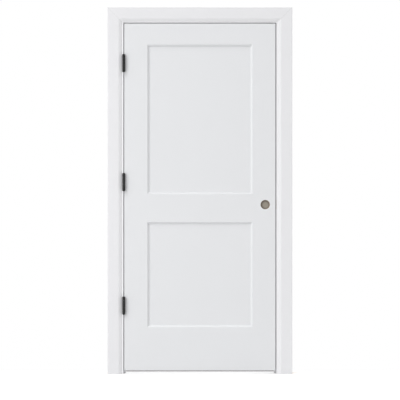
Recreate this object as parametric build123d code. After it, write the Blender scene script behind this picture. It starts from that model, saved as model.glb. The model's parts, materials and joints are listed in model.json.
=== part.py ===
from build123d import *
import math
import os

# Prehung interior door: a two-panel slab hung on butt hinges in a cased jamb set.
# Millimetres. X runs from the hinge jamb to the strike jamb, the pull side faces -Y, Z is up.
# The origin lies on the hinge jamb's outer face, at floor level, halfway through its depth.

# Slab
slab_width = 886.0
slab_height = 2032.0
slab_thickness = 35.0
slab_edge_radius = 1.2
undercut = 22.0
lock_edge_bevel = 3.0

# Stiles, rails and panels
stile_width = 135.0
top_rail_height = 123.0
lock_rail_height = 164.0
bottom_rail_height = 253.0
lower_opening_height = 615.5
sticking_width = 10.5
sticking_drop = 10.0
sticking_lip = 1.5
groove_depth = 9.0

# Jambs
jamb_thickness = 19.0
jamb_depth = 116.0
jamb_edge_radius = 1.2
head_housing_depth = 10.0
running_gap = 5.2

# Stops
stop_thickness = 11.0
stop_width = 35.0
stop_edge_radius = 4.0
stop_gap = 5.0

# Casing
side_reveal = 13.0
head_reveal = 9.0
casing_width = 80.0
casing_thickness = 9.0
casing_bevel_width = 15.0
casing_bevel_drop = 5.5
casing_edge_radius = 4.0
casing_arris_radius = 1.0
casing_relief_depth = 1.5
casing_relief_margin = 16.0

# Hinges
hinge_drops = {"top": 233.0, "middle": 929.5, "bottom": 1652.0}
hinge_height = 101.6
leaf_thickness = 2.5
leaf_width = 28.0
leaf_corner_radius = 6.0
barrel_diameter = 18.0
barrel_standoff = 10.5
knuckle_count = 5
knuckle_gap = 0.3
pin_diameter = 8.0
pin_clearance = 0.05
pin_head_diameter = 12.0
pin_head_height = 2.8
pin_head_chamfer = 2.0

# Lock preparation
backset = 60.3
lock_height = 971.0
cross_bore_diameter = 54.0
latch_bore_diameter = 25.4
faceplate_height = 57.2
faceplate_width = 28.6
faceplate_depth = 3.0
strike_plate_depth = 2.0
strike_bore_diameter = 22.2
plate_corner_radius = 6.35

# Places that follow from the sizes
front_y = -jamb_depth / 2
slab_left = jamb_thickness + running_gap
slab_right = slab_left + slab_width
slab_mid_y = front_y + slab_thickness / 2
slab_back_y = front_y + slab_thickness
slab_bottom = undercut
slab_top = slab_bottom + slab_height
strike_face = slab_right + running_gap
unit_width = strike_face + jamb_thickness
head_face = slab_top + running_gap
frame_top = head_face + jamb_thickness
panel_thickness = slab_thickness - 2 * (sticking_drop + sticking_lip)
panel_inset = sticking_width - groove_depth
hinge_x = slab_left - running_gap / 2
hinge_y = front_y - barrel_standoff
lock_x = slab_right - backset
lock_z = slab_bottom + lock_height
stop_y = slab_back_y + stop_gap
casing_inner_x = jamb_thickness - side_reveal
casing_outer_x = casing_inner_x - casing_width
casing_inner_z = head_face + head_reveal
casing_outer_z = casing_inner_z + casing_width
opening_left = slab_left + stile_width
opening_right = slab_right - stile_width
bottom_rail_top = slab_bottom + bottom_rail_height
lock_rail_bottom = bottom_rail_top + lower_opening_height
lock_rail_top = lock_rail_bottom + lock_rail_height
top_rail_bottom = slab_top - top_rail_height
unit_mid_plane = Plane.YZ.offset(unit_width / 2)


def span_box(low, high):
    # Box between two opposite corners.
    sizes = [b - a for a, b in zip(low, high)]
    return Pos(*low) * Box(*sizes, align=(Align.MIN, Align.MIN, Align.MIN))


def along_z(solid, x):
    # Upright edges of a solid that lie at one x.
    upright = solid.edges().filter_by(Axis.Z)
    return upright.filter_by(lambda edge: abs(edge.center().X - x) < 0.01)


def leaf_plate(side):
    # Hinge leaf flush in its mortise, about the pin axis, with rounded corners at the back.
    # Side is -1 for the jamb and +1 for the slab.
    outline = Rectangle(leaf_width, hinge_height)
    back = outline.vertices().group_by(Axis.X)[-1]
    outline = fillet(back, leaf_corner_radius)
    face_x = side * running_gap / 2
    middle = (face_x, barrel_standoff + leaf_width / 2, 0)
    plane = Plane(origin=middle, x_dir=(0, 1, 0), z_dir=(1, 0, 0))
    return extrude(plane * outline, side * leaf_thickness)


def hinge_leaf(side, knuckles):
    # Leaf with its knuckles rolled round the pin, and a neck from each knuckle to the plate.
    pitch = hinge_height / knuckle_count
    length = pitch - knuckle_gap
    leaf = leaf_plate(side)
    neck_x = side * (running_gap + leaf_thickness) / 2
    for index in knuckles:
        height = (index + 0.5) * pitch - hinge_height / 2
        leaf += Pos(0, 0, height) * Cylinder(barrel_diameter / 2, length)
        leaf += Pos(neck_x, barrel_standoff / 2, height) * Box(leaf_thickness, barrel_standoff, length)
    return leaf - Cylinder(pin_diameter / 2 + pin_clearance, hinge_height)


def hinge_pin():
    # Loose pin with a button at each end, seated on the outer knuckles.
    outer_knuckle_end = (hinge_height - knuckle_gap) / 2
    pin = Cylinder(pin_diameter / 2, 2 * outer_knuckle_end)
    button = Cylinder(pin_head_diameter / 2, pin_head_height)
    button = chamfer(button.edges().group_by(Axis.Z)[-1], pin_head_chamfer)
    button = Pos(0, 0, outer_knuckle_end + pin_head_height / 2) * button
    return pin + button + mirror(button, about=Plane.XY)


def hinge_place(drop):
    # Middle of a hinge on the pin axis, a stated distance below the slab's top.
    return Pos(hinge_x, hinge_y, slab_top - drop)


def cut_mortises(piece, side):
    # Pockets that let the three leaves in flush.
    for drop in hinge_drops.values():
        piece -= hinge_place(drop) * leaf_plate(side)
    return piece


def plate_pocket(centre, outward, depth):
    # Shallow rounded pocket for a latch faceplate or strike plate in an upright edge.
    plane = Plane(origin=centre, x_dir=(0, 0, 1), z_dir=outward)
    outline = RectangleRounded(faceplate_height, faceplate_width, plate_corner_radius)
    return extrude(plane * outline, -depth)


def member_section(face_width, stuck_sides):
    # Section across a stile or rail: bevelled sticking and a panel groove on each listed side.
    half_face = face_width / 2
    half_slab = slab_thickness / 2
    half_edge = half_slab - sticking_drop
    section = Rectangle(face_width, slab_thickness)
    for side in stuck_sides:
        moulding = make_face(
            Polyline(
                (half_face, -half_slab),
                (half_face + sticking_width, -half_edge),
                (half_face + sticking_width, half_edge),
                (half_face, half_slab),
                close=True,
            )
        )
        groove_x = half_face + sticking_width - groove_depth / 2
        groove = Pos(groove_x, 0) * Rectangle(groove_depth, panel_thickness)
        turn = Rot(0, 0, 0 if side > 0 else 180)
        section = section + turn * moulding - turn * groove
    return section


def stile_blank(middle_x, stuck_side):
    # Full-height upright member of the slab, square on its outer edge.
    section = member_section(stile_width, [stuck_side])
    return extrude(Pos(middle_x, slab_mid_y, slab_bottom) * section, slab_height)


def hinge_stile():
    # Outer arrises eased, then mortised for the leaves.
    post = stile_blank(slab_left + stile_width / 2, 1)
    post = fillet(along_z(post, slab_left), slab_edge_radius)
    return cut_mortises(post, 1)


def lock_stile():
    # Lock edge bevelled towards the back, with a cross bore, a latch bore and a faceplate pocket.
    bevel = math.radians(lock_edge_bevel)
    set_back = slab_thickness * math.tan(bevel)
    wedge = make_face(
        Polyline(
            (slab_right, front_y),
            (slab_right, slab_back_y),
            (slab_right - set_back, slab_back_y),
            close=True,
        )
    )
    post = stile_blank(slab_right - stile_width / 2, -1)
    post -= extrude(Pos(0, 0, slab_bottom) * wedge, slab_height)
    arrises = along_z(post, slab_right) + along_z(post, slab_right - set_back)
    post = fillet(arrises, slab_edge_radius)
    cross_middle = Pos(lock_x, slab_mid_y, lock_z)
    post -= cross_middle * Rot(90, 0, 0) * Cylinder(cross_bore_diameter / 2, slab_thickness)
    latch_middle = Pos(lock_x + backset / 2, slab_mid_y, lock_z)
    post -= latch_middle * Rot(0, 90, 0) * Cylinder(latch_bore_diameter / 2, backset)
    edge_middle = (slab_right - set_back / 2, slab_mid_y, lock_z)
    edge_normal = (math.cos(bevel), math.sin(bevel), 0)
    return post - plate_pocket(edge_middle, edge_normal, faceplate_depth)


def rail(bottom_z, top_z, stuck_sides, stiles):
    # Rail between the stiles, with its ends coped over their sticking and tongued into their grooves.
    section = member_section(top_z - bottom_z, stuck_sides)
    start = (opening_left, slab_mid_y, (bottom_z + top_z) / 2)
    plane = Plane(origin=start, x_dir=(0, 0, 1), z_dir=(1, 0, 0))
    bar = extrude(plane * section, opening_right - opening_left)
    for upright in stiles:
        bar -= upright
    return bar


def panel(bottom_z, top_z):
    # Flat panel held in the grooves on all four edges.
    half = panel_thickness / 2
    low = (opening_left + panel_inset, slab_mid_y - half, bottom_z + panel_inset)
    high = (opening_right - panel_inset, slab_mid_y + half, top_z - panel_inset)
    return span_box(low, high)


def side_jamb():
    # Flat jamb on the hinge side, housed at the top for the head and eased along the opening.
    jamb = span_box((0, front_y, 0), (jamb_thickness, -front_y, frame_top))
    jamb = fillet(along_z(jamb, jamb_thickness), jamb_edge_radius)
    housing_x = jamb_thickness - head_housing_depth
    jamb -= span_box((housing_x, front_y, head_face), (jamb_thickness, -front_y, frame_top))
    return jamb


def strike_jamb():
    # Mirrored jamb with the strike plate's pocket and a latch hole right through.
    jamb = mirror(side_jamb(), about=unit_mid_plane)
    jamb -= plate_pocket((strike_face, slab_mid_y, lock_z), (-1, 0, 0), strike_plate_depth)
    hole_middle = Pos(strike_face + jamb_thickness / 2, slab_mid_y, lock_z)
    jamb -= hole_middle * Rot(0, 90, 0) * Cylinder(strike_bore_diameter / 2, jamb_thickness)
    return jamb


def head_jamb():
    housing_x = jamb_thickness - head_housing_depth
    low = (housing_x, front_y, head_face)
    high = (unit_width - housing_x, -front_y, frame_top)
    jamb = span_box(low, high)
    lower = jamb.edges().filter_by(Axis.X).group_by(Axis.Z)[0]
    return fillet(lower, jamb_edge_radius)


def side_stop():
    # Applied stop on the hinge jamb, rounded on the arris away from the slab.
    low = (jamb_thickness, stop_y, 0)
    high = (jamb_thickness + stop_thickness, stop_y + stop_width, head_face - stop_thickness)
    stop = span_box(low, high)
    round_edge = along_z(stop, jamb_thickness + stop_thickness).sort_by(Axis.Y)[-1]
    return fillet(round_edge, stop_edge_radius)


def head_stop():
    low = (jamb_thickness, stop_y, head_face - stop_thickness)
    high = (strike_face, stop_y + stop_width, head_face)
    stop = span_box(low, high)
    lower = stop.edges().filter_by(Axis.X).group_by(Axis.Z)[0]
    return fillet(lower.sort_by(Axis.Y)[-1], stop_edge_radius)


def casing_section():
    # Casing seen along its run: inner edge at zero, wall face on the first axis, hollowed back.
    outline = Polyline(
        (0, 0),
        (0, casing_thickness - casing_bevel_drop),
        (casing_bevel_width, casing_thickness),
        (casing_width, casing_thickness),
        (casing_width, 0),
        close=True,
    )
    section = make_face(outline)
    outer = section.vertices().group_by(Axis.X)[-1].sort_by(Axis.Y)[-1]
    section = fillet(outer, casing_edge_radius)
    inner = section.vertices().group_by(Axis.X)[0].sort_by(Axis.Y)[-1]
    section = fillet(inner, casing_arris_radius)
    relief_width = casing_width - 2 * casing_relief_margin
    relief = Pos(casing_width / 2, casing_relief_depth / 2) * Rectangle(relief_width, casing_relief_depth)
    return section - relief


def mitre_block(*corners):
    # Block through the depth of the casing whose outline gives a mitred piece its ends.
    outline = Plane.XZ * make_face(Polyline(*corners, close=True))
    return extrude(outline, jamb_depth / 2 + casing_thickness, both=True)


def casing_leg():
    # Upright casing beside the hinge jamb, mitred at the top.
    plane = Plane(origin=(casing_inner_x, front_y, 0), x_dir=(-1, 0, 0), z_dir=(0, 0, 1))
    leg = extrude(plane * casing_section(), casing_outer_z)
    block = mitre_block(
        (casing_outer_x, 0),
        (casing_inner_x, 0),
        (casing_inner_x, casing_inner_z),
        (casing_outer_x, casing_outer_z),
    )
    return leg & block


def casing_head():
    # Head casing, mitred at both ends.
    far_inner_x = unit_width - casing_inner_x
    far_outer_x = unit_width - casing_outer_x
    start = (casing_outer_x, front_y, casing_inner_z)
    plane = Plane(origin=start, x_dir=(0, 0, 1), z_dir=(1, 0, 0))
    head = extrude(plane * casing_section(), far_outer_x - casing_outer_x)
    block = mitre_block(
        (casing_outer_x, casing_outer_z),
        (casing_inner_x, casing_inner_z),
        (far_inner_x, casing_inner_z),
        (far_outer_x, casing_outer_z),
    )
    return head & block


def build_frame():
    # Fixed pieces: jambs, stops and a casing on each face.
    stop = side_stop()
    leg = casing_leg()
    front = {
        "casing_hinge_leg": leg,
        "casing_strike_leg": mirror(leg, about=unit_mid_plane),
        "casing_head": casing_head(),
    }
    pieces = {
        "hinge_jamb": cut_mortises(side_jamb(), -1),
        "strike_jamb": strike_jamb(),
        "head_jamb": head_jamb(),
        "hinge_stop": stop,
        "strike_stop": mirror(stop, about=unit_mid_plane),
        "head_stop": head_stop(),
    }
    for name, piece in front.items():
        pieces["front_" + name] = piece
        pieces["back_" + name] = mirror(piece, about=Plane.XZ)
    return pieces


def build_slab():
    # Swinging pieces: stiles, coped rails and panels.
    hinge_side = hinge_stile()
    lock_side = lock_stile()
    stiles = [hinge_side, lock_side]
    return {
        "hinge_stile": hinge_side,
        "lock_stile": lock_side,
        "top_rail": rail(top_rail_bottom, slab_top, [-1], stiles),
        "lock_rail": rail(lock_rail_bottom, lock_rail_top, [-1, 1], stiles),
        "bottom_rail": rail(slab_bottom, bottom_rail_top, [1], stiles),
        "upper_panel": panel(lock_rail_top, top_rail_bottom),
        "lower_panel": panel(bottom_rail_top, lock_rail_bottom),
    }


def build_hinges():
    # Three butt hinges: odd knuckles on the jamb leaf, even ones on the slab leaf.
    jamb_leaf = hinge_leaf(-1, range(0, knuckle_count, 2))
    slab_leaf = hinge_leaf(1, range(1, knuckle_count, 2))
    pin = hinge_pin()
    pieces = {}
    for name, drop in hinge_drops.items():
        place = hinge_place(drop)
        pieces[name + "_hinge_jamb_leaf"] = place * jamb_leaf
        pieces[name + "_hinge_slab_leaf"] = place * slab_leaf
        pieces[name + "_hinge_pin"] = place * pin
    return pieces


os.makedirs("parts", exist_ok=True)
for node, solid in {**build_frame(), **build_slab(), **build_hinges()}.items():
    export_step(solid, f"parts/{node}.step")
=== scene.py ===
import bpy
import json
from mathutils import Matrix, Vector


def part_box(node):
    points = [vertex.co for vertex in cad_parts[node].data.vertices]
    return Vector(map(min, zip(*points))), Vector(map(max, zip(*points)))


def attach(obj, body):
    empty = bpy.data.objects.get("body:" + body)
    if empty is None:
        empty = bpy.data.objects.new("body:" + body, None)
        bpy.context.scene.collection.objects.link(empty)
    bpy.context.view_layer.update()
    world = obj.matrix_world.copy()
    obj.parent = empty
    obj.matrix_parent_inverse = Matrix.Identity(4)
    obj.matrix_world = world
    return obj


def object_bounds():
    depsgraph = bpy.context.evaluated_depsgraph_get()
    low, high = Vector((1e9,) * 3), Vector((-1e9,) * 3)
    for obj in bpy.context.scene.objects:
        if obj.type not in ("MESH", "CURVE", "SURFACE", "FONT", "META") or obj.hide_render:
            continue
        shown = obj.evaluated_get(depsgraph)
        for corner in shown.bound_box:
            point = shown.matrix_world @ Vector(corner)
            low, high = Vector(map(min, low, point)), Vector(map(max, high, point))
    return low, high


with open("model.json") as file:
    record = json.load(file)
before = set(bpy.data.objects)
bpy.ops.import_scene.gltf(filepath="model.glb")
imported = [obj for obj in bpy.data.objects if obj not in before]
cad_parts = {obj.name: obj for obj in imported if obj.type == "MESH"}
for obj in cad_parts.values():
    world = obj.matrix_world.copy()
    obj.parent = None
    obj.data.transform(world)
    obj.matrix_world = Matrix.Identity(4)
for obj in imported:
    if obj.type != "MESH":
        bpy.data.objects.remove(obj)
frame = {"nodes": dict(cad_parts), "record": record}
cad_box = [list(corner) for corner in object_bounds()]

import json
import math

import bpy
from mathutils import Vector

# Hinge and head jambs. Flat pine boards, the head housed between the two sides and nailed through them,
# sprayed satin white where they show. Their backs against studs and header, and the sawn feet, are bare.

# The jambs are a shade whiter than casing and slab. Part of this is painted light, lifting the reveal strips
# that lie in the casing's shadow.
jamb_tone_rgb = (238, 238, 240)
jamb_sheen = 0.45
tone_drift = 0.02
sheen_spread = 0.16
pine_pale_rgb = (228, 203, 164)
pine_dark_rgb = (203, 169, 122)
pore_strength = 0.25
bare_roughness = 0.9
grain_upright = (1.0, 1.0, 0.04)
grain_level = (0.04, 1.0, 1.0)
skin = 0.0003
hinge_jamb_low, hinge_jamb_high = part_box("hinge_jamb")
strike_jamb_low, strike_jamb_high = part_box("strike_jamb")
head_jamb_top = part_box("head_jamb")[1].z


def srgb(red, green, blue):
    # Linear colour for an 8-bit display colour, by the sRGB curve.
    channels = []
    for value in (red, green, blue):
        part = value / 255
        channels.append(part / 12.92 if part <= 0.04045 else ((part + 0.055) / 1.055) ** 2.4)
    return (*channels, 1.0)


def feed(tree, target, value):
    # Link a socket, or set a plain value.
    if isinstance(value, bpy.types.NodeSocket):
        tree.links.new(value, target)
    else:
        target.default_value = value


def add_node(tree, kind, fed=None, **settings):
    # New node with its settings, and with inputs linked to sockets or set to plain values.
    node = tree.nodes.new(kind)
    for name, value in settings.items():
        setattr(node, name, value)
    for name, value in (fed or {}).items():
        feed(tree, node.inputs[name], value)
    return node


def calc(tree, operation, first, second=0.0):
    # One arithmetic step on sockets or plain values.
    return add_node(tree, "ShaderNodeMath", {0: first, 1: second}, operation=operation).outputs[0]


def mix(tree, kind, factor, first, second):
    # Mix of two colours (RGBA) or of two values (FLOAT).
    fed = {"Factor": factor, "A": first, "B": second}
    return add_node(tree, "ShaderNodeMix", fed, data_type=kind).outputs["Result"]


def ramp(tree, value, low, high, shape="LINEAR"):
    # Value brought to the range from 0 at low to 1 at high.
    fed = {"Value": value, "From Min": low, "From Max": high}
    return add_node(tree, "ShaderNodeMapRange", fed, interpolation_type=shape).outputs["Result"]


def noise(tree, place, scale, detail, **values):
    # Noise in space, from 0 to 1.
    fed = {"Vector": place, "Scale": scale, "Detail": detail, **values}
    return add_node(tree, "ShaderNodeTexNoise", fed).outputs["Fac"]


def about_middle(tree, value, spread):
    # Noise shifted to lie about zero, times a spread.
    return calc(tree, "MULTIPLY", calc(tree, "SUBTRACT", value, 0.5), spread)


def object_place(tree):
    # Object coordinates, whole and split by axis.
    position = add_node(tree, "ShaderNodeTexCoord").outputs["Object"]
    split = add_node(tree, "ShaderNodeSeparateXYZ", {0: position})
    return position, dict(zip("xyz", split.outputs))


def new_group(name, inputs, outputs):
    # Empty shader group with named sockets.
    group = bpy.data.node_groups.new(name, "ShaderNodeTree")
    for label, kind in inputs:
        group.interface.new_socket(label, in_out="INPUT", socket_type="NodeSocket" + kind)
    for label, kind in outputs:
        group.interface.new_socket(label, in_out="OUTPUT", socket_type="NodeSocket" + kind)
    given = add_node(group, "NodeGroupInput").outputs
    return group, given, add_node(group, "NodeGroupOutput").inputs


def paint_film_group():
    # Sprayed paint: a faint drift of tone, uneven sheen and the fine stipple of the spray.
    group, given, result = new_group(
        "paint_film",
        [("Position", "Vector"), ("Tone", "Color"), ("Drift", "Float"), ("Sheen", "Float")],
        [("Color", "Color"), ("Roughness", "Float"), ("Height", "Float")],
    )
    cloud = noise(group, given["Position"], scale=3.2, detail=3.0)
    stipple = noise(group, given["Position"], scale=620.0, detail=2.0, Roughness=0.6)
    streak = noise(group, given["Position"], scale=90.0, detail=2.0)
    broad = about_middle(group, cloud, given["Drift"])
    fine = about_middle(group, stipple, given["Drift"])
    share = calc(group, "ADD", calc(group, "ADD", broad, fine), 1.0)
    toned = add_node(group, "ShaderNodeVectorMath", {0: given["Tone"], "Scale": share}, operation="SCALE")
    feed(group, result["Color"], toned.outputs[0])
    uneven = about_middle(group, streak, sheen_spread)
    feed(group, result["Roughness"], calc(group, "ADD", given["Sheen"], uneven))
    feed(group, result["Height"], stipple)
    return group


def bare_timber_group():
    # Bare pine: growth rings drawn out along the board, with fine pores.
    group, given, result = new_group(
        "bare_timber",
        [("Position", "Vector"), ("Grain", "Vector")],
        [("Color", "Color"), ("Height", "Float")],
    )
    fed = {0: given["Position"], 1: given["Grain"]}
    stretched = add_node(group, "ShaderNodeVectorMath", fed, operation="MULTIPLY").outputs[0]
    ring = noise(group, stretched, scale=70.0, detail=5.0, Distortion=0.6)
    pore = noise(group, stretched, scale=900.0, detail=2.0)
    pale, dark = srgb(*pine_pale_rgb), srgb(*pine_dark_rgb)
    banded = mix(group, "RGBA", ramp(group, ring, low=0.35, high=0.68), pale, dark)
    pored = mix(group, "RGBA", calc(group, "MULTIPLY", pore, pore_strength), banded, dark)
    feed(group, result["Color"], pored)
    feed(group, result["Height"], pore)
    return group


paint_film = paint_film_group()
bare_timber = bare_timber_group()


def beyond(tree, place, axis, limit, side):
    # Mask of what lies past a plane across one axis, on its higher (+1) or lower (-1) side.
    return calc(tree, "GREATER_THAN" if side > 0 else "LESS_THAN", place[axis], limit)


def either(tree, masks):
    # Mask of what lies in any of the given masks.
    total = masks[0]
    for mask in masks[1:]:
        total = calc(tree, "MAXIMUM", total, mask)
    return total


def painted(name, tone_rgb, sheen, core_group=None, bare_masks=None, grain=None, touch=None):
    # Paint film, over a bare core that shows where the masks say, with an optional last touch to its colour.
    material = bpy.data.materials.new(name)
    material.use_nodes = True
    tree = material.node_tree
    shader = tree.nodes["Principled BSDF"]
    position, place = object_place(tree)
    fed = {"Position": position, "Tone": srgb(*tone_rgb), "Drift": tone_drift, "Sheen": sheen}
    film = add_node(tree, "ShaderNodeGroup", fed, node_tree=paint_film).outputs
    colour, roughness, height = film["Color"], film["Roughness"], film["Height"]
    if core_group:
        fed = {"Position": position, "Grain": grain} if grain else {"Position": position}
        core = add_node(tree, "ShaderNodeGroup", fed, node_tree=core_group).outputs
        bare = either(tree, bare_masks(tree, place))
        colour = mix(tree, "RGBA", bare, colour, core["Color"])
        roughness = mix(tree, "FLOAT", bare, roughness, bare_roughness)
        height = mix(tree, "FLOAT", bare, height, core["Height"])
    if touch:
        colour = touch(tree, place, colour)
    bump = add_node(tree, "ShaderNodeBump", {"Strength": 0.25, "Distance": 0.0002, "Height": height})
    feed(tree, shader.inputs["Base Color"], colour)
    feed(tree, shader.inputs["Roughness"], roughness)
    feed(tree, shader.inputs["Normal"], bump.outputs["Normal"])
    feed(tree, shader.inputs["Specular IOR Level"], 0.35)
    return material


def dress(names, material):
    # Give CAD pieces one finish.
    for name in names:
        slots = frame["nodes"][name].data.materials
        slots.clear()
        slots.append(material)


def jamb_backs(tree, place):
    # Backs against the studs and the header, and the lower ends.
    return [
        beyond(tree, place, "x", hinge_jamb_low.x + skin, -1),
        beyond(tree, place, "x", strike_jamb_high.x - skin, 1),
        beyond(tree, place, "z", head_jamb_top - skin, 1),
        beyond(tree, place, "z", hinge_jamb_low.z + skin, -1),
    ]


jamb_paint = painted("jamb_paint", jamb_tone_rgb, jamb_sheen, bare_timber, jamb_backs, grain_upright)
head_paint = painted("head_jamb_paint", jamb_tone_rgb, jamb_sheen, bare_timber, jamb_backs, grain_level)
dress(["hinge_jamb"], jamb_paint)
dress(["head_jamb"], head_paint)

# Strike jamb. The same pine board on the lock side. The shallow pocket for the strike plate is routed,
# and the latch hole bored, after painting, so both are bare timber.

millimetre = 0.001
plate_half_height = 0.0286
plate_half_width = 0.0143
mounts = {mount["name"]: mount for mount in frame["record"]["mounts"]}
strike = mounts["strike_hole"]


def both(tree, first, second):
    # Mask of what lies in two masks at once.
    return calc(tree, "MULTIPLY", first, second)


def apart(tree, place, axis, middle):
    # Distance from a plane across one axis.
    return calc(tree, "ABSOLUTE", calc(tree, "SUBTRACT", place[axis], middle))


def reach_from(tree, place, axes, centre):
    # Distance from a line through a point, across two axes.
    squares = []
    for axis in axes:
        run = calc(tree, "SUBTRACT", place[axis], centre[axis])
        squares.append(calc(tree, "MULTIPLY", run, run))
    return calc(tree, "SQRT", calc(tree, "ADD", *squares))


def mount_centre(mount):
    # A mount's place, by axis.
    return dict(zip("xyz", mount["pos_m"]))


def round_hole(tree, place, axes, mount):
    # Mask of what lies within a bore's wall.
    distance = reach_from(tree, place, axes, mount_centre(mount))
    return calc(tree, "LESS_THAN", distance, mount["dims"]["r_mm"] * millimetre + skin)


def plate_outline(tree, place, mount):
    # Mask of a lock plate's upright outline round a bore.
    centre = mount_centre(mount)
    high = calc(tree, "LESS_THAN", apart(tree, place, "z", centre["z"]), plate_half_height + skin)
    wide = calc(tree, "LESS_THAN", apart(tree, place, "y", centre["y"]), plate_half_width + skin)
    return both(tree, high, wide)


def strike_bare(tree, place):
    # The backs, the strike plate's pocket and the latch hole.
    sunk = beyond(tree, place, "x", strike_jamb_low.x + skin, 1)
    pocket = both(tree, plate_outline(tree, place, strike), sunk)
    return jamb_backs(tree, place) + [pocket, round_hole(tree, place, "yz", strike)]


strike_paint = painted(
    "strike_jamb_paint", jamb_tone_rgb, jamb_sheen, bare_timber, strike_bare, grain_upright
)
dress(["strike_jamb"], strike_paint)

# Stops. Thin pine strips nailed to the jambs behind the slab, rounded on the arris away from it.
# They are sprayed together with the jambs, so they share the jambs' finish.

dress(["hinge_stop", "strike_stop"], jamb_paint)
dress(["head_stop"], head_paint)

# Slab. Fibreboard stiles, rails and panels glued up and sprayed satin white on faces and edges.
# Only the lock holes, bored and routed after painting, show the brown board.

slab_tone_rgb = (226, 227, 229)
slab_sheen = 0.45
board_pale_rgb = (202, 174, 136)
board_dark_rgb = (160, 130, 96)
patch_strength = 0.3
lock_edge_lean = math.tan(math.radians(3.0))
slab_low, slab_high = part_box("hinge_stile")
bore = mounts["lockset_bore"]
latch = mounts["latch_bore"]


def bare_board_group():
    # Bare fibreboard: brown felted fibres with darker and paler flecks.
    group, given, result = new_group(
        "bare_board",
        [("Position", "Vector")],
        [("Color", "Color"), ("Height", "Float")],
    )
    fibre = noise(group, given["Position"], scale=420.0, detail=5.0, Roughness=0.7)
    patch = noise(group, given["Position"], scale=45.0, detail=2.0)
    pale, dark = srgb(*board_pale_rgb), srgb(*board_dark_rgb)
    flecked = mix(group, "RGBA", ramp(group, fibre, low=0.3, high=0.75), dark, pale)
    patched = mix(group, "RGBA", calc(group, "MULTIPLY", patch, patch_strength), flecked, dark)
    feed(group, result["Color"], patched)
    feed(group, result["Height"], fibre)
    return group


def lock_holes(tree, place):
    # The cross bore, the latch bore, and the faceplate's pocket sunk square to the leaning edge.
    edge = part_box("lock_stile")[1].x - lock_edge_lean * (slab_high.y - slab_low.y) / 2
    run = calc(tree, "SUBTRACT", place["y"], latch["pos_m"][1])
    upright = calc(tree, "ADD", place["x"], calc(tree, "MULTIPLY", run, lock_edge_lean))
    sunk = calc(tree, "LESS_THAN", upright, edge - skin)
    beside = beyond(tree, place, "x", bore["pos_m"][0], 1)
    pocket = both(tree, both(tree, plate_outline(tree, place, latch), sunk), beside)
    tunnel = both(tree, round_hole(tree, place, "yz", latch), beside)
    return [round_hole(tree, place, "xz", bore), tunnel, pocket]


bare_board = bare_board_group()
slab_paint = painted("slab_paint", slab_tone_rgb, slab_sheen)
lock_paint = painted("lock_stile_paint", slab_tone_rgb, slab_sheen, bare_board, lock_holes)
dress(["hinge_stile", "top_rail", "lock_rail", "bottom_rail", "upper_panel", "lower_panel"], slab_paint)
dress(["lock_stile"], lock_paint)

# Hinges. Steel butt hinges with rolled knuckles on a loose pin, powder coated satin black.
# Their leaves are let in flush with the jamb and with the slab's edge.

hinge_names = ["top", "middle", "bottom"]
coat_dark_rgb = (14, 14, 15)
coat_pale_rgb = (22, 22, 23)
coat_roughness = 0.26
coat_roughness_spread = 0.1


def black_coat():
    # Powder coat: near black with a faint cloud of tone and a fine pebbled skin.
    material = bpy.data.materials.new("hinge_black_coat")
    material.use_nodes = True
    tree = material.node_tree
    shader = tree.nodes["Principled BSDF"]
    position = object_place(tree)[0]
    pebble = noise(tree, position, scale=1400.0, detail=2.0)
    cloud = noise(tree, position, scale=60.0, detail=3.0)
    colour = mix(tree, "RGBA", cloud, srgb(*coat_dark_rgb), srgb(*coat_pale_rgb))
    roughness = calc(tree, "ADD", calc(tree, "MULTIPLY", pebble, coat_roughness_spread), coat_roughness)
    bump = add_node(tree, "ShaderNodeBump", {"Strength": 0.3, "Distance": 0.0001, "Height": pebble})
    feed(tree, shader.inputs["Base Color"], colour)
    feed(tree, shader.inputs["Roughness"], roughness)
    feed(tree, shader.inputs["Normal"], bump.outputs["Normal"])
    feed(tree, shader.inputs["Specular IOR Level"], 0.32)
    return material


hinge_coat = black_coat()
for hinge in hinge_names:
    dress([hinge + "_hinge_" + part for part in ("jamb_leaf", "slab_leaf", "pin")], hinge_coat)

# Hinge screws. Countersunk steel wood screws with a cross recess, coated black like the leaves,
# four to a leaf in a staggered row, each driven through the leaf into the jamb or the slab's edge.

leaf_depth = 0.028
screw_sizes = {"Head Radius": 0.0038, "Head Height": 0.00045, "Count": 4, "Pitch": 0.026, "Stagger": 0.009}
head_sides = 24
head_top_share = 0.9
recess_length_share = 1.15
recess_width_share = 0.24
recess_depth_share = 1.5
quarter_turn = math.pi / 2
jamb_turn_seed = 7
slab_turn_seed = 8


def arrow(tree, **parts):
    # Vector with the given parts, the others zero.
    fed = {axis.upper(): part for axis, part in parts.items()}
    return add_node(tree, "ShaderNodeCombineXYZ", fed).outputs[0]


def screw_head(tree, given):
    # Low cone with a cross recess, its axis along Z.
    radius, height = given["Head Radius"], given["Head Height"]
    top = calc(tree, "MULTIPLY", radius, head_top_share)
    fed = {"Vertices": head_sides, "Radius Top": top, "Radius Bottom": radius, "Depth": height}
    head = add_node(tree, "GeometryNodeMeshCone", fed, fill_type="NGON")
    cut = add_node(tree, "GeometryNodeMeshBoolean", {"Mesh 1": head.outputs["Mesh"]})
    length = calc(tree, "MULTIPLY", radius, recess_length_share)
    width = calc(tree, "MULTIPLY", radius, recess_width_share)
    depth = calc(tree, "MULTIPLY", height, recess_depth_share)
    for across, along in ((length, width), (width, length)):
        blade = add_node(tree, "GeometryNodeMeshCube", {"Size": arrow(tree, x=across, y=along, z=depth)})
        fed = {"Geometry": blade.outputs["Mesh"], "Translation": arrow(tree, z=height)}
        raised = add_node(tree, "GeometryNodeTransform", fed)
        feed(tree, cut.inputs["Mesh 2"], raised.outputs[0])
    return cut.outputs["Mesh"]


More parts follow.
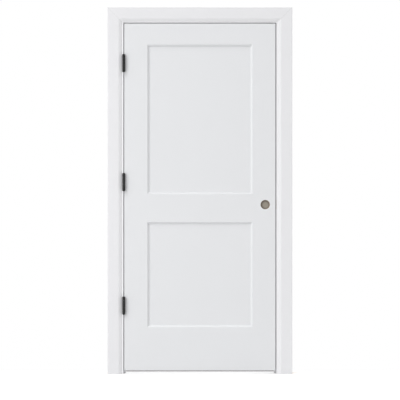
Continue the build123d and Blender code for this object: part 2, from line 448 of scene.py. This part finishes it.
def screw_row_points(tree, given):
    # Points up the leaf, one to the left and one to the right of its middle in turn.
    count, pitch = given["Count"], given["Pitch"]
    first = calc(tree, "MULTIPLY", calc(tree, "SUBTRACT", count, 1.0), -0.5)
    start = arrow(tree, z=calc(tree, "MULTIPLY", first, pitch))
    fed = {"Count": count, "Start Location": start, "Offset": arrow(tree, z=pitch)}
    row = add_node(tree, "GeometryNodeMeshLine", fed, mode="OFFSET")
    index = add_node(tree, "GeometryNodeInputIndex").outputs[0]
    side = calc(tree, "SUBTRACT", calc(tree, "MODULO", index, 2.0), 0.5)
    shift = arrow(tree, y=calc(tree, "MULTIPLY", side, given["Stagger"]))
    fed = {"Geometry": row.outputs[0], "Offset": shift}
    return add_node(tree, "GeometryNodeSetPosition", fed).outputs[0]


def screw_tree():
    # Screw heads in a row on every leaf, each left at its own turn by the driver.
    tree = bpy.data.node_groups.new("hinge_screw_rows", "GeometryNodeTree")
    sockets = [
        ("Leaves", "Geometry"), ("Head Radius", "Float"), ("Head Height", "Float"),
        ("Count", "Int"), ("Pitch", "Float"), ("Stagger", "Float"),
        ("Facing", "Float"), ("Turn Seed", "Int"), ("Finish", "Material"),
    ]
    for label, kind in sockets:
        tree.interface.new_socket(label, in_out="INPUT", socket_type="NodeSocket" + kind)
    tree.interface.new_socket("Screws", in_out="OUTPUT", socket_type="NodeSocketGeometry")
    given = add_node(tree, "NodeGroupInput").outputs
    facing = arrow(tree, y=calc(tree, "MULTIPLY", given["Facing"], quarter_turn))
    fed = {"Geometry": screw_head(tree, given), "Rotation": facing}
    faced = add_node(tree, "GeometryNodeTransform", fed).outputs[0]
    chance = add_node(tree, "FunctionNodeRandomValue", {"Seed": given["Turn Seed"]}, data_type="FLOAT")
    angle = calc(tree, "MULTIPLY", chance.outputs[1], quarter_turn)
    turn = add_node(tree, "FunctionNodeEulerToRotation", {0: arrow(tree, x=angle)}).outputs[0]
    fed = {"Points": screw_row_points(tree, given), "Instance": faced, "Rotation": turn}
    row = add_node(tree, "GeometryNodeInstanceOnPoints", fed).outputs[0]
    fed = {"Points": given["Leaves"], "Instance": row}
    rows = add_node(tree, "GeometryNodeInstanceOnPoints", fed).outputs[0]
    solid = add_node(tree, "GeometryNodeRealizeInstances", {0: rows}).outputs[0]
    fed = {"Geometry": solid, "Material": given["Finish"]}
    coated = add_node(tree, "GeometryNodeSetMaterial", fed).outputs[0]
    add_node(tree, "NodeGroupOutput", {0: coated})
    return tree


screw_rows = screw_tree()


def drive_screws(name, leaf, face_x, facing, turn_seed, body):
    # Screws of the three leaves on one body, made into one plain mesh.
    middles = []
    for hinge in hinge_names:
        low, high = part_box(hinge + "_hinge_" + leaf)
        middles.append((face_x, high.y - leaf_depth / 2, (low.z + high.z) / 2))
    points = bpy.data.meshes.new(name)
    points.from_pydata(middles, [], [])
    piece = bpy.data.objects.new(name, points)
    bpy.context.scene.collection.objects.link(piece)
    rows = piece.modifiers.new("rows", "NODES")
    rows.node_group = screw_rows
    values = {**screw_sizes, "Facing": facing, "Turn Seed": turn_seed, "Finish": hinge_coat}
    for item in screw_rows.interface.items_tree:
        if item.in_out == "INPUT" and item.name in values:
            rows[item.identifier] = values[item.name]
    depsgraph = bpy.context.evaluated_depsgraph_get()
    mesh = bpy.data.meshes.new_from_object(piece.evaluated_get(depsgraph))
    mesh.name = name
    piece.modifiers.clear()
    piece.data = mesh
    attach(piece, body)


drive_screws("jamb_leaf_screws", "jamb_leaf", hinge_jamb_high.x, 1.0, jamb_turn_seed, "frame")
drive_screws("slab_leaf_screws", "slab_leaf", slab_low.x, -1.0, slab_turn_seed, "door")

# Casing. Fibreboard moulding with a bevelled inner edge, mitred at the head and nailed to the jamb edges.
# It is painted on the face and edges and left bare on the hollowed back and the sawn foot.

casing_tone_rgb = (230, 230, 232)
casing_sheen = 0.45
relief_depth = 0.0015
relief_half_width = 0.024
mitre_line = 0.0004
mitre_shade_rgb = (120, 118, 116)
mitre_shade_strength = 0.45
casing_back = abs(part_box("front_casing_head")[1].y)
mitre_inner_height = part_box("front_casing_head")[0].z
left_mitre = (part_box("front_casing_hinge_leg")[1].x, 1.0)
right_mitre = (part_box("front_casing_strike_leg")[0].x, -1.0)
casing_pieces = {
    "hinge_leg": ("x", [left_mitre]),
    "strike_leg": ("x", [right_mitre]),
    "head": ("z", [left_mitre, right_mitre]),
}


def casing_backs(axis, middle):
    # Masks of the hollow along the back's middle, of the flat back, and of the sawn foot.
    def masks(tree, place):
        depth = calc(tree, "ABSOLUTE", place["y"])
        shallow = calc(tree, "LESS_THAN", depth, casing_back + relief_depth + skin)
        central = calc(tree, "LESS_THAN", apart(tree, place, axis, middle), relief_half_width + skin)
        return [
            both(tree, shallow, central),
            calc(tree, "LESS_THAN", depth, casing_back + skin / 2),
            beyond(tree, place, "z", hinge_jamb_low.z + skin, -1),
        ]

    return masks


def mitre_shadow(mitres):
    # Fine line of each mitre, climbing from its inner corner to the left (+1) or to the right (-1).
    def shaded(tree, place, colour):
        lines = []
        for inner_x, lean in mitres:
            climb = calc(tree, "ADD", place["z"], calc(tree, "MULTIPLY", place["x"], lean))
            off = calc(tree, "SUBTRACT", climb, mitre_inner_height + lean * inner_x)
            lines.append(calc(tree, "LESS_THAN", calc(tree, "ABSOLUTE", off), mitre_line))
        strength = calc(tree, "MULTIPLY", either(tree, lines), mitre_shade_strength)
        return mix(tree, "RGBA", strength, colour, srgb(*mitre_shade_rgb))

    return shaded


for piece, (axis, mitres) in casing_pieces.items():
    low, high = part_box("front_casing_" + piece)
    backs = casing_backs(axis, getattr(low + high, axis) / 2)
    casing_paint = painted(
        "casing_paint_" + piece, casing_tone_rgb, casing_sheen, bare_board, backs, touch=mitre_shadow(mitres)
    )
    dress(["front_casing_" + piece, "back_casing_" + piece], casing_paint)

# Floor and backdrop. A plain white sweep: the floor keeps the door's shadow, and the backdrop close behind
# is white except inside the shut doorway, where painted warm shade lies on it, with a painted pool of light
# behind the bore.

stage_reach = 40.0
white = (1.0, 1.0, 1.0, 1.0)
floor_glow_strength = 0.31
floor_seen_grey = (0.9, 0.9, 0.9, 1.0)
floor_bounce_grey = (0.66, 0.66, 0.66, 1.0)
floor_shadow_near = 1.0
floor_shadow_far = 3.0
backdrop_gap = 0.01
doorway_sight = 1.5
doorway_shut_below = 0.12
doorway_open_above = 0.25
# Painted shade laid on the backdrop inside the shut doorway.
doorway_shade_rgb = (98, 88, 80)
# Painted pool of light on the backdrop behind the bore, as if light came through it: its colour, inner and
# outer radius, and offset.
bore_light_spot_rgb = (150, 143, 132)
bore_light_spot_core = 0.011
bore_light_spot_edge = 0.028
bore_light_spot_right = 0.008
bore_light_spot_drop = 0.003
# Painted shade near the floor, seen under the slab: lighter than the doorway shade, as if light came in
# under the slab; it fades out between these heights.
low_shade_rgb = (154, 151, 152)
low_shade_from = 0.02
low_shade_to = 0.12


def stage_material(name):
    # Material with nothing but its output.
    material = bpy.data.materials.new(name)
    material.use_nodes = True
    tree = material.node_tree
    tree.nodes.clear()
    return material, tree, add_node(tree, "ShaderNodeOutputMaterial").inputs[0]


def looked_at(tree):
    # 1 for what the camera sees directly, in a reflection or through glass.
    ray = add_node(tree, "ShaderNodeLightPath").outputs
    return either(tree, [ray["Is Camera Ray"], ray["Is Glossy Ray"], ray["Is Transmission Ray"]])


def choose(tree, factor, first, second):
    # The first shader where the factor is 0, the second where it is 1.
    return add_node(tree, "ShaderNodeMixShader", {0: factor, 1: first, 2: second}).outputs[0]


def floor_white():
    # Shows the shadow near the door and is plain white farther off; to the door it is a pale grey floor.
    material, tree, surface = stage_material("floor_white")
    glow = add_node(tree, "ShaderNodeEmission", {"Color": white, "Strength": floor_glow_strength}).outputs[0]
    matt = add_node(tree, "ShaderNodeBsdfDiffuse", {"Color": floor_seen_grey}).outputs[0]
    near = add_node(tree, "ShaderNodeAddShader", {0: glow, 1: matt}).outputs[0]
    far = add_node(tree, "ShaderNodeEmission", {"Color": white, "Strength": 1.0}).outputs[0]
    rail_low, rail_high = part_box("bottom_rail")
    away = reach_from(tree, object_place(tree)[1], "xy", dict(zip("xyz", (rail_low + rail_high) / 2)))
    far_off = ramp(tree, away, floor_shadow_near, floor_shadow_far, "SMOOTHSTEP")
    bounce = add_node(tree, "ShaderNodeBsdfDiffuse", {"Color": floor_bounce_grey}).outputs[0]
    feed(tree, surface, choose(tree, looked_at(tree), bounce, choose(tree, far_off, near, far)))
    return material


def doorway_open(tree, place):
    # 0 where the slab shuts the doorway in front of the backdrop, 1 in the open and round the frame; the
    # painted shade goes where it is 0.
    space = add_node(tree, "ShaderNodeAmbientOcclusion", {"Distance": doorway_sight}, samples=16)
    return either(tree, [
        ramp(tree, space.outputs["AO"], doorway_shut_below, doorway_open_above),
        beyond(tree, place, "x", hinge_jamb_low.x, -1),
        beyond(tree, place, "x", strike_jamb_high.x, 1),
        beyond(tree, place, "z", head_jamb_top, 1),
    ])


def backdrop_white():
    # Seen only by the camera and only from the front, so it takes no light from the door; its shade and the
    # spot behind the bore are painted.
    material, tree, surface = stage_material("backdrop_white")
    place = object_place(tree)[1]
    # Painted pool of light behind the bore, fading out into the painted doorway shade.
    light_spot_centre = mount_centre(bore)
    light_spot_centre["x"] += bore_light_spot_right
    light_spot_centre["z"] -= bore_light_spot_drop
    from_light_spot = reach_from(tree, place, "xz", light_spot_centre)
    light_spot_fade = ramp(tree, from_light_spot, bore_light_spot_core, bore_light_spot_edge, "SMOOTHSTEP")
    shade = mix(tree, "RGBA", light_spot_fade, srgb(*bore_light_spot_rgb), srgb(*doorway_shade_rgb))
    # Lighter painted shade near the floor, where light would come in under the slab.
    low_fade = ramp(tree, place["z"], low_shade_from, low_shade_to)
    shade = mix(tree, "RGBA", low_fade, srgb(*low_shade_rgb), shade)
    # Painted shade where the doorway is shut, plain white elsewhere.
    tone = mix(tree, "RGBA", doorway_open(tree, place), shade, white)
    glow = add_node(tree, "ShaderNodeEmission", {"Color": tone}).outputs[0]
    clear = add_node(tree, "ShaderNodeBsdfTransparent").outputs[0]
    behind = add_node(tree, "ShaderNodeNewGeometry").outputs["Backfacing"]
    seen = both(tree, looked_at(tree), calc(tree, "SUBTRACT", 1.0, behind))
    feed(tree, surface, choose(tree, seen, clear, glow))
    return material


def sheet(name, corners, material):
    # One large flat face.
    mesh = bpy.data.meshes.new(name)
    mesh.from_pydata(corners, [], [(0, 1, 2, 3)])
    mesh.materials.append(material)
    piece = bpy.data.objects.new(name, mesh)
    bpy.context.scene.collection.objects.link(piece)


wall_y = cad_box[1][1] + backdrop_gap
floor_corners = [
    (-stage_reach, -stage_reach, 0), (stage_reach, -stage_reach, 0),
    (stage_reach, stage_reach, 0), (-stage_reach, stage_reach, 0),
]
backdrop_corners = [
    (-stage_reach, wall_y, 0), (stage_reach, wall_y, 0),
    (stage_reach, wall_y, stage_reach), (-stage_reach, wall_y, stage_reach),
]
sheet("floor", floor_corners, floor_white())
sheet("backdrop", backdrop_corners, backdrop_white())

# Light. A large soft lamp far off above and to the left, a nearer one low on the left, one behind
# for the other face and one at the right for the strike edge, in an even white surround.

surround_strength = 0.69
eye_height = 1.02
scene = bpy.context.scene
door_centre = Vector(((cad_box[0][0] + cad_box[1][0]) / 2, slab_low.y, eye_height))


def soft_lamp(name, place, width, energy):
    # Round area lamp aimed at the middle of the door.
    data = bpy.data.lights.new(name, "AREA")
    data.shape = "DISK"
    data.size = width
    data.energy = energy
    lamp = bpy.data.objects.new(name, data)
    lamp.location = place
    lamp.rotation_euler = (door_centre - place).to_track_quat("-Z", "Y").to_euler()
    scene.collection.objects.link(lamp)


soft_lamp("key_lamp", door_centre + Vector((-12.5, -14.0, 20.8)), width=14.0, energy=3000.0)
soft_lamp("side_lamp", Vector((-3.2, -3.4, 0.9)), width=2.5, energy=52.0)
soft_lamp("back_lamp", Vector((2.4, 3.6, 2.2)), width=2.5, energy=46.0)
soft_lamp("edge_lamp", Vector((3.4, 0.5, 1.2)), width=2.5, energy=24.0)

scene.world = bpy.data.worlds.new("white_surround")
scene.world.use_nodes = True
sky = scene.world.node_tree
sky.nodes.clear()
ambient = add_node(sky, "ShaderNodeBackground", {"Color": white, "Strength": surround_strength}).outputs[0]
seen_white = add_node(sky, "ShaderNodeBackground", {"Color": white, "Strength": 1.0}).outputs[0]
add_node(sky, "ShaderNodeOutputWorld", {0: choose(sky, looked_at(sky), ambient, seen_white)})
scene.view_settings.view_transform = "Standard"

# Camera. Straight on to the slab at half the unit's height,
# far enough back that upright lines stay upright and the reveals show evenly.

view_distance = 9.0
view_width = 2.3436
view_shift = 0.0006
sensor_width = 36.0
camera_data = bpy.data.cameras.new("front_camera")
camera_data.sensor_width = sensor_width
camera_data.lens = sensor_width * view_distance / view_width
camera = bpy.data.objects.new("front_camera", camera_data)
camera.location = door_centre + Vector((view_shift, -view_distance, 0.0))
camera.rotation_euler = (quarter_turn, 0, 0)
scene.collection.objects.link(camera)
scene.camera = camera
